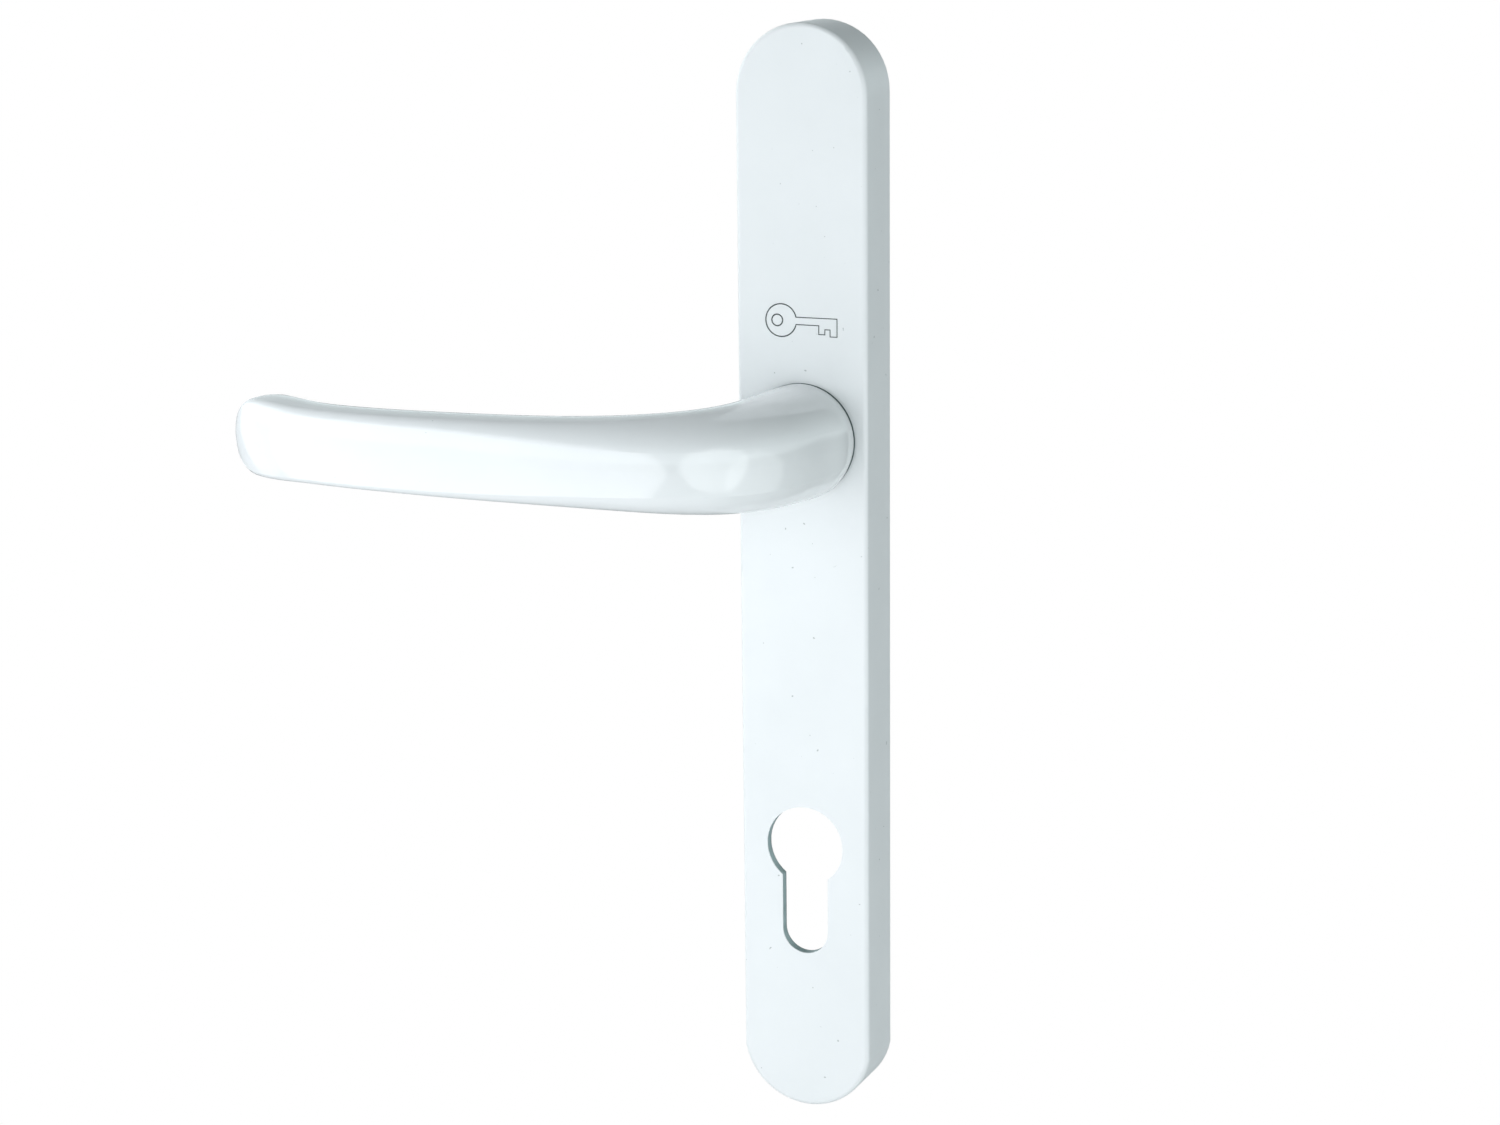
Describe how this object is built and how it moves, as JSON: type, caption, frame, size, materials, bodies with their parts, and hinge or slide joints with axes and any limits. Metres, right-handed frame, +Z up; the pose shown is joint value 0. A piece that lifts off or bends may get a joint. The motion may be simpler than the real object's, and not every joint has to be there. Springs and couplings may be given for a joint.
{
  "type": "sprung lever door handle on backplate",
  "caption": "White lever handle on a long round-ended backplate with a euro profile cylinder cut-out and a spring return cassette behind.",
  "frame": {"origin": "where the lever's axis meets the door face, which is the plane of the backplate's back rim", "axes": "+Z up the backplate, +Y into the door along the lever's axis, so the lever stands out towards -Y and points to -X at rest"},
  "size_m": [0.1356, 0.0794, 0.2422],
  "materials": {
    "white_coat": "fine textured white powder coat",
    "white_coat_lever": "smooth satin white powder coat",
    "zinc_plated": "bright zinc plated steel",
    "acetal": "dark acetal",
    "spring_steel": "oiled spring steel",
    "case_plastic": "moulded black nylon",
    "screw_steel": "passivated steel",
    "cast_zinc": "bare zinc alloy casting"
  },
  "bodies": {
    "backplate": {"backplate": "white_coat", "fixing_post_upper": "zinc_plated", "fixing_post_lower": "zinc_plated", "neck_bush": "case_plastic", "thrust_washer": "acetal", "spring_case": "case_plastic", "spring_cover": "zinc_plated", "cover_screws": "screw_steel", "return_spring_upper_left": "spring_steel", "return_spring_upper_right": "spring_steel", "return_spring_lower_left": "spring_steel", "return_spring_lower_right": "spring_steel"},
    "lever": {"lever": "white_coat_lever", "drive_cam": "cast_zinc", "disc_spring": "spring_steel", "circlip": "spring_steel"},
    "plunger_upper_left": {"plunger_upper_left": "acetal"},
    "plunger_upper_right": {"plunger_upper_right": "acetal"},
    "plunger_lower_left": {"plunger_lower_left": "acetal"},
    "plunger_lower_right": {"plunger_lower_right": "acetal"}
  },
  "joints": [
    {"name": "lever_turn", "type": "hinge", "parent": "backplate", "child": "lever", "pos_m": [0, 0, 0], "axis": [0, -1, 0], "range_deg": [-45, 45], "stiffness_Nm_per_rad": 1.6, "springref_deg": -5.16},
    {"name": "upper_left_slide", "type": "slide", "parent": "backplate", "child": "plunger_upper_left", "axis": [0, 0, 1], "range_m": [-0.0071, 0.0071], "deforming": ["return_spring_upper_left"]},
    {"name": "upper_right_slide", "type": "slide", "parent": "backplate", "child": "plunger_upper_right", "axis": [0, 0, 1], "range_m": [-0.0071, 0.0071], "deforming": ["return_spring_upper_right"]},
    {"name": "lower_left_slide", "type": "slide", "parent": "backplate", "child": "plunger_lower_left", "axis": [0, 0, 1], "range_m": [-0.0071, 0.0071], "deforming": ["return_spring_lower_left"]},
    {"name": "lower_right_slide", "type": "slide", "parent": "backplate", "child": "plunger_lower_right", "axis": [0, 0, 1], "range_m": [-0.0071, 0.0071], "deforming": ["return_spring_lower_right"]}
  ],
  "couplings": [
    {"joint": "upper_left_slide", "follows": "lever_turn", "m_per_rad": -0.0089},
    {"joint": "upper_right_slide", "follows": "lever_turn", "m_per_rad": 0.0089},
    {"joint": "lower_left_slide", "follows": "lever_turn", "m_per_rad": -0.0089},
    {"joint": "lower_right_slide", "follows": "lever_turn", "m_per_rad": 0.0089}
  ]
}
